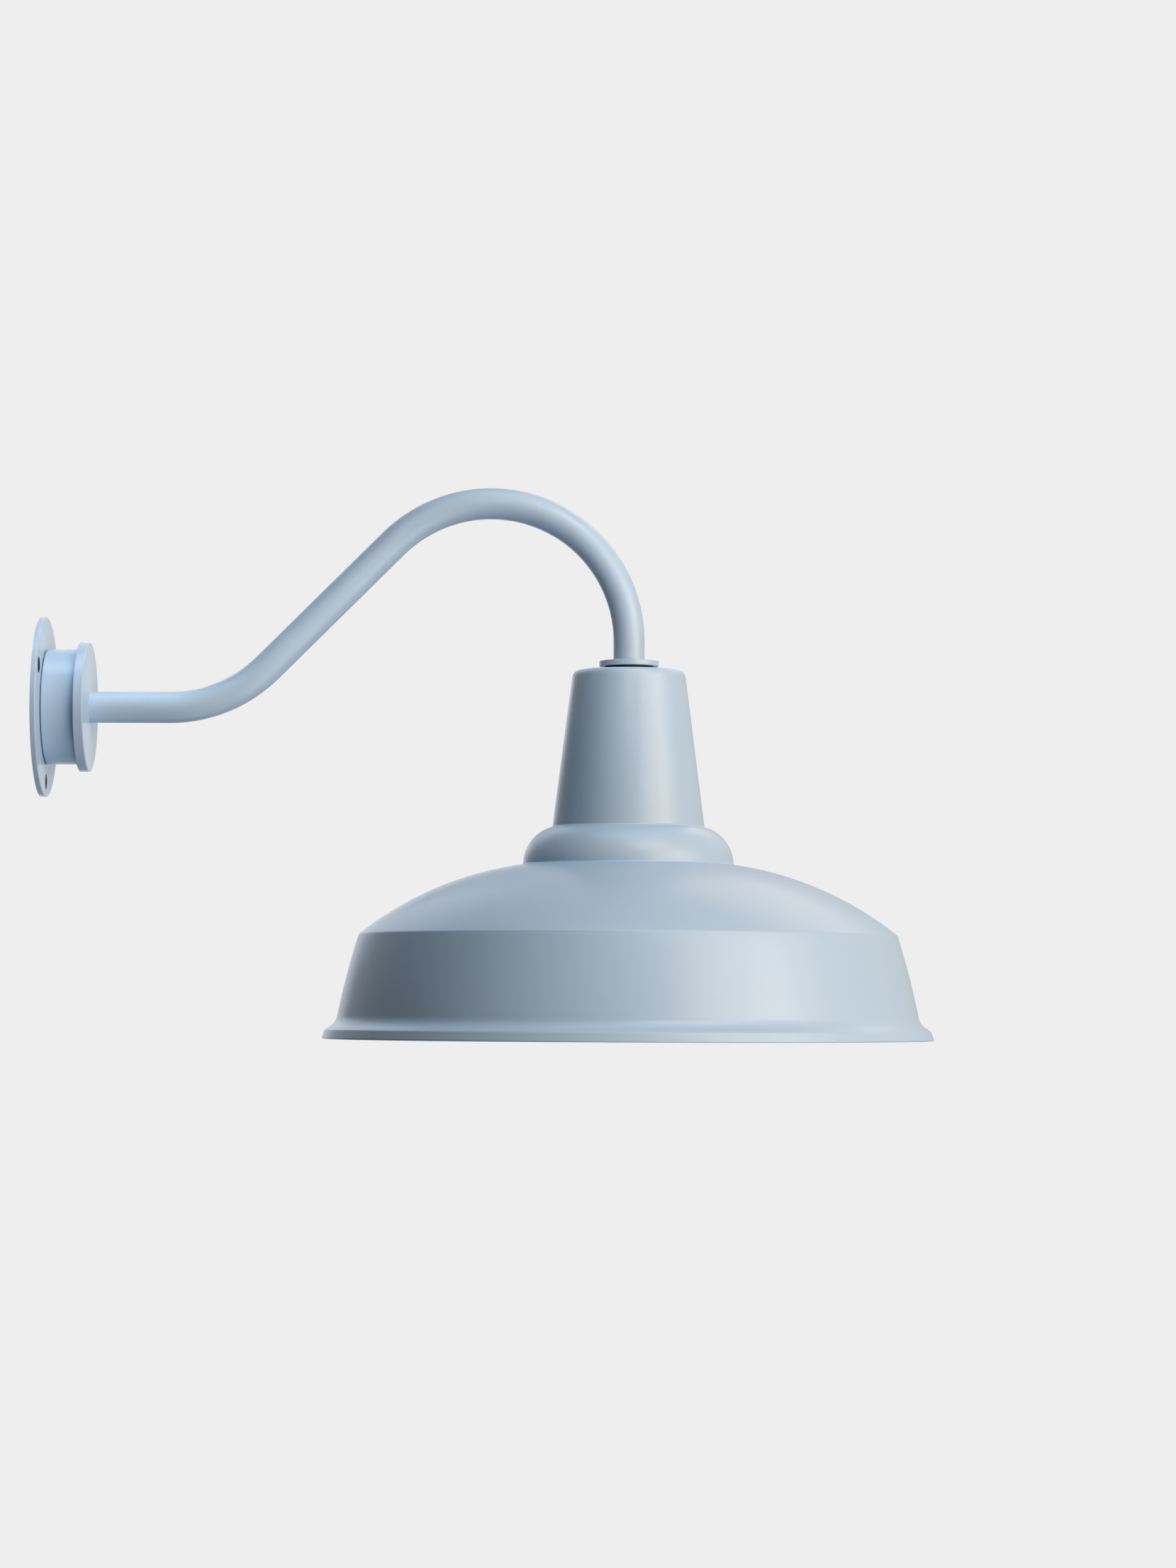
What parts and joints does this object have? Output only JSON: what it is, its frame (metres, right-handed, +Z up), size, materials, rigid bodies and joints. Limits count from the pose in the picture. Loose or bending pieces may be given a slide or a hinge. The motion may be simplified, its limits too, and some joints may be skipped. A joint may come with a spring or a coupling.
{
  "type": "barn light",
  "caption": "Wall light with a round canopy, a gooseneck tube and a deep spun shade with a flared rim, lit by a screw-in bulb that points down.",
  "frame": {"origin": "centre of the wall screws' circle on the wall plate's back face", "axes": "+X straight out from the wall, +Z up; the lamp hangs down along -Z at X 0.3857"},
  "size_m": [0.5857, 0.3998, 0.3622],
  "materials": {
    "paint": "satin",
    "rubber": "matte",
    "zinc": "satin",
    "tinned": "satin",
    "brass": "satin",
    "nylon": "satin",
    "sheath": "satin",
    "core": "satin",
    "holder_metal": "satin",
    "phenolic": "gloss",
    "porcelain": "gloss",
    "lamp_cap": "satin",
    "lamp_insulator": "gloss",
    "glass": "polished",
    "phosphor": "satin"
  },
  "bodies": {
    "fixture": {"wall_plate": "paint", "canopy_drum": "paint", "canopy_cover": "paint", "arm_tube": "paint", "collar": "paint", "shade": "paint", "cable_grommet": "rubber", "drum_seal": "rubber", "cover_seal": "rubber", "collar_gasket": "rubber", "drum_screws": "zinc", "cover_screws": "zinc", "terminal_screws": "zinc", "wall_bush": "zinc", "arm_washer": "zinc", "arm_lock_nut": "zinc", "lamp_bush": "zinc", "threaded_nipple": "zinc", "shade_washer": "zinc", "shade_lock_nut": "zinc", "holder_grip_screw": "zinc", "holder_terminal_screws": "zinc", "contact_spring": "zinc", "earth_tag": "tinned", "terminal_tubes": "brass", "earth_screw": "brass", "holder_terminals": "brass", "screw_shell": "brass", "terminal_block": "nylon", "arm_cable": "sheath", "core_wires": "core", "holder_cap": "holder_metal", "holder_skirt": "phenolic", "contact_carrier": "porcelain"},
    "bulb_tip": {"bulb_eyelet": "lamp_cap", "bulb_insulator": "lamp_insulator"},
    "bulb": {"bulb_cap": "lamp_cap", "bulb_glass": "glass", "bulb_stem": "glass", "led_filaments": "phosphor"},
    "contact": {"centre_contact": "brass"}
  },
  "joints": [
    {"name": "bulb_lower", "type": "slide", "parent": "fixture", "child": "bulb_tip", "axis": [0, 0, -1], "range_m": [0, 0.0236]},
    {"name": "bulb_turn", "type": "hinge", "parent": "bulb_tip", "child": "bulb", "pos_m": [0.38572, 0, -0.05], "axis": [0, 0, -1], "range_deg": [0, 2341.2]},
    {"name": "contact_press", "type": "slide", "parent": "fixture", "child": "contact", "axis": [0, 0, 1], "range_m": [0, 0.0015], "stiffness_N_per_m": 800, "deforming": ["contact_spring"]}
  ],
  "couplings": [
    {"joint": "bulb_turn", "follows": "bulb_lower", "rad_per_m": 1731.4}
  ]
}
